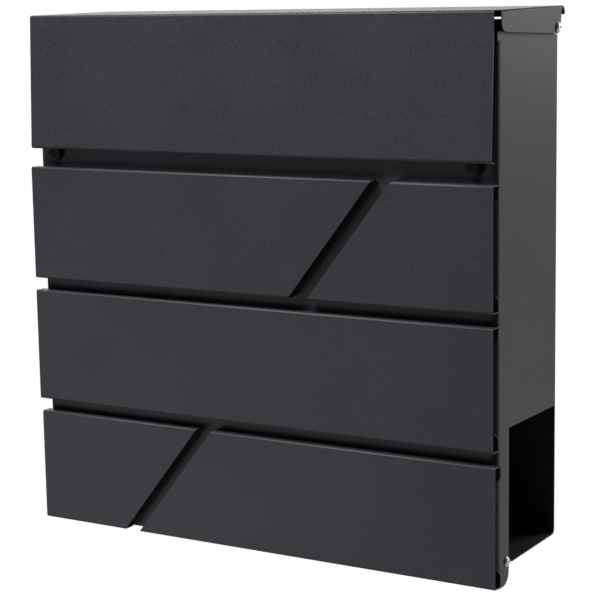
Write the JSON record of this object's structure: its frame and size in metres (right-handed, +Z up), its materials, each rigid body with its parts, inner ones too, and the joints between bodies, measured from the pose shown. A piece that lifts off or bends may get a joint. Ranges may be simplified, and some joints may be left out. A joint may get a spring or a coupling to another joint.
{
  "type": "wall mounted mailbox",
  "caption": "Anthracite steel wall mailbox with plank front, slanted cuts, a lifting rain lid and an open newspaper tray under the letter compartment.",
  "frame": {"origin": "centre of the four wall screw holes, in the plane of the wall", "axes": "+X to the right as seen from the front, +Y into the wall, +Z up; the plank front faces -Y"},
  "size_m": [0.3786, 0.1122, 0.3761],
  "materials": {
    "anthracite_paint": "fine textured matte powder coat",
    "rivet_metal": "plain domed rivet",
    "washer_steel": "zinc plated",
    "black_rubber": "matte",
    "black_plastic": "moulded, matte",
    "lock_chrome": "polished",
    "lock_steel": "zinc plated"
  },
  "bodies": {
    "wall_back": {"back_tray": "anthracite_paint", "catch_arm": "anthracite_paint", "wall_spacers": "black_plastic", "low_rivets": "rivet_metal"},
    "front_housing": {"housing_shell": "anthracite_paint", "letter_floor": "anthracite_paint", "plank_2_left": "anthracite_paint", "plank_2_right": "anthracite_paint", "plank_3": "anthracite_paint", "plank_4_left": "anthracite_paint", "plank_4_right": "anthracite_paint", "flap_bumpers": "black_rubber", "lid_rivets": "rivet_metal", "lid_washers": "washer_steel", "lock_barrel": "lock_chrome", "lock_nut": "lock_steel"},
    "lid": {"lid_sheet": "anthracite_paint"},
    "lock_core": {"lock_plug": "lock_chrome", "lock_cam": "lock_steel", "cam_screw": "lock_steel"}
  },
  "joints": [
    {"name": "housing_tilt", "type": "hinge", "parent": "wall_back", "child": "front_housing", "pos_m": [0, -0.089, -0.2186], "axis": [1, 0, 0], "range_deg": [0, 45]},
    {"name": "lid_lift", "type": "hinge", "parent": "front_housing", "child": "lid", "pos_m": [0, -0.0176, 0.1276], "axis": [-1, 0, 0], "range_deg": [0, 80]},
    {"name": "lock_turn", "type": "hinge", "parent": "front_housing", "child": "lock_core", "pos_m": [0.148, -0.1028, 0.1001], "axis": [0, -1, 0], "range_deg": [0, 90]}
  ]
}
